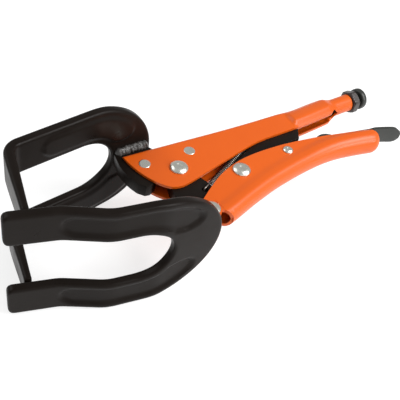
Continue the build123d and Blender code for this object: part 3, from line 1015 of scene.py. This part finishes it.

# %% [markdown]
# ## The jaw spring
# An extension spring runs from a hole in the moving jaw to a pin across the upper handle. The
# coil comes from the winding tree; its two end hooks are bent wire, drawn as a tube along a short
# path. Coil and hooks make one piece. When the jaw opens the real spring pulls shorter towards its
# pin; this mesh is drawn at its length at rest.

# %% Bent wire and the spring
def wire(path, radius, around=12):
    """A round tube along smoothed points."""
    for _ in range(2):
        cut = [path[0]]
        for a, b in zip(path, path[1:]):
            cut += [a.lerp(b, 0.25), a.lerp(b, 0.75)]
        path = cut + [path[-1]]
    rings, across = [], None
    for k, spot in enumerate(path):
        run = (path[min(k + 1, len(path) - 1)] - path[max(k - 1, 0)]).normalized()
        if across is None:
            across = run.orthogonal().normalized()
        across = (across - run * across.dot(run)).normalized()
        other = run.cross(across)
        rings.append([tuple(spot + (across * math.cos(2 * math.pi * j / around)
                                    + other * math.sin(2 * math.pi * j / around)) * radius)
                      for j in range(around)])
    return capped(rings)


HOLE, PIN = Vector((6.4, -20.0, 0)), Vector((*middle("spring_anchor_pin"), 0))
COIL_TURNS, COIL_RADIUS, COIL_WIRE = 33, 2.15, 0.5
HOOK_ROUND, HOOK_WIRE = 1.8, 0.45
span = (PIN - HOLE).length
tilt = math.degrees(math.atan2(PIN.y - HOLE.y, PIN.x - HOLE.x))
coil_start, coil_end = 9.0, span - 4.5
coil = wound(COIL_TURNS, COIL_RADIUS, coil_end - coil_start, COIL_WIRE, 8, 24, spring_steel)
coil = ([(x, y, z + coil_start) for x, y, z in coil[0]], coil[1])
front_hook = wire([Vector(p) for p in ((3.6, 1.0, -0.4), (-0.5, 0.6, -0.6), (-4.5, 0.3, -0.4),
                                       (-4.9, 0.1, 1.2), (-4.8, 0, 3.6), (-4.2, 0, 6.2),
                                       (-2.6, 0, 8.0), (-2.1, 0.3, 9.6))], COIL_WIRE)
loop = [(HOOK_ROUND * math.cos(math.radians(d)), span + HOOK_ROUND * math.sin(math.radians(d)))
        for d in (200, 145, 90, 35, -20)]
rear_hook = wire([Vector((-2.2, 0, coil_end - 0.4)), Vector((-2.4, -0.6, coil_end + 1.2)),
                  *[Vector((-1.4, y, z)) for y, z in loop]], HOOK_WIRE)
points, faces = joined(coil, front_hook, rear_hook)
points = [(x, y, -z) for x, y, z in placed(points, HOLE[:2], tilt)]
spring = mesh_piece("jaw_spring_wound", points, faces, spring_steel, "spring_wire", "upper_handle",
                    "jaw_spring")
smooth(spring, 60)
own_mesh(spring)
print("spring", round(span, 1), "mm from hole to pin")

# %% [markdown]
# ## Floor, light and camera
# The tool lies on a white bench. The bench glows a little itself, so it stays white all over
# while it still takes a soft shadow, and it throws light up under the handles as a light tent
# does. It isn't part of the tool, so it rides on no body.

# %% The bench
bpy.ops.mesh.primitive_plane_add(size=6, location=(0, 0, -0.0005))
bench = bpy.context.object
bench.name = "bench"
bench_white = bpy.data.materials.new("bench_white")
bench_white.use_nodes = True
paper = bench_white.node_tree.nodes["Principled BSDF"]
for socket, value in (("Base Color", (0.4, 0.4, 0.4, 1)), ("Emission Color", (1, 1, 1, 1)),
                      ("Emission Strength", 0.72), ("Roughness", 0.9)):
    paper.inputs[socket].default_value = value
bench.data.materials.append(bench_white)

# %% [markdown]
# The surround is an even white, so nothing falls into black. Four soft panels add shape: the
# strongest hangs above the handles' rear ends, a small one draws a highlight along the rounded
# spines, and two wide weak ones lift the back and the front. A panel's size sets how soft it is, and
# its power how much it counts.

# %% Soft panels and an even surround
def panel(name, place, aim, size, power):
    """A rectangular lamp at a place in metres, turned towards its aim; power is in watts."""
    light = bpy.data.lights.new(name, "AREA")
    light.shape = "RECTANGLE"
    light.size, light.size_y = size
    light.energy = power
    lamp = bpy.data.objects.new(name, light)
    lamp.location = place
    lamp.rotation_euler = (Vector(aim) - Vector(place)).to_track_quat("-Z", "Y").to_euler()
    bpy.context.scene.collection.objects.link(lamp)


panel("top_panel", (0.55, -0.40, 0.95), (0.05, 0, 0.03), (0.5, 0.5), 9)
panel("edge_panel", (0.60, -0.85, 0.55), (0, 0, 0.03), (0.3, 0.3), 4)
panel("back_panel", (-0.6, 0.9, 1.0), (0, 0, 0.03), (0.8, 0.8), 4)
panel("front_panel", (-0.2, -1.0, 0.5), (0, 0, 0.03), (1.2, 0.5), 1.5)
world = bpy.data.worlds.new("light_tent")
world.use_nodes = True
surround = world.node_tree.nodes["Background"]
surround.inputs["Color"].default_value = (1, 1, 1, 1)
surround.inputs["Strength"].default_value = 0.42
bpy.context.scene.world = world
bpy.context.scene.view_settings.view_transform = "Standard"
print("panels", len(bpy.data.lights))

# %% [markdown]
# The camera looks down along the tool from in front of the forks. It stands close, so the forks
# look large and the handles run away from it. It aims at one point of the tool and is then
# rolled about its own line of sight.

# %% The camera
CAMERA_PLACE = Vector((-0.2047, -0.2230, 0.3257))
CAMERA_AIM = Vector((-0.02236, -0.01519, 0.0397))
CAMERA_ROLL = 13.19
eye = bpy.data.cameras.new("eye")
eye.sensor_width = 36.0
eye.lens = 61.2
camera = bpy.data.objects.new("camera", eye)
camera.location = CAMERA_PLACE
look = (CAMERA_AIM - CAMERA_PLACE).to_track_quat("-Z", "Y").to_matrix().to_4x4()
camera.rotation_euler = (look @ Matrix.Rotation(math.radians(CAMERA_ROLL), 4, "Z")).to_euler()
bpy.context.scene.collection.objects.link(camera)
bpy.context.scene.camera = camera
print("camera looks from", [round(v, 3) for v in camera.location])
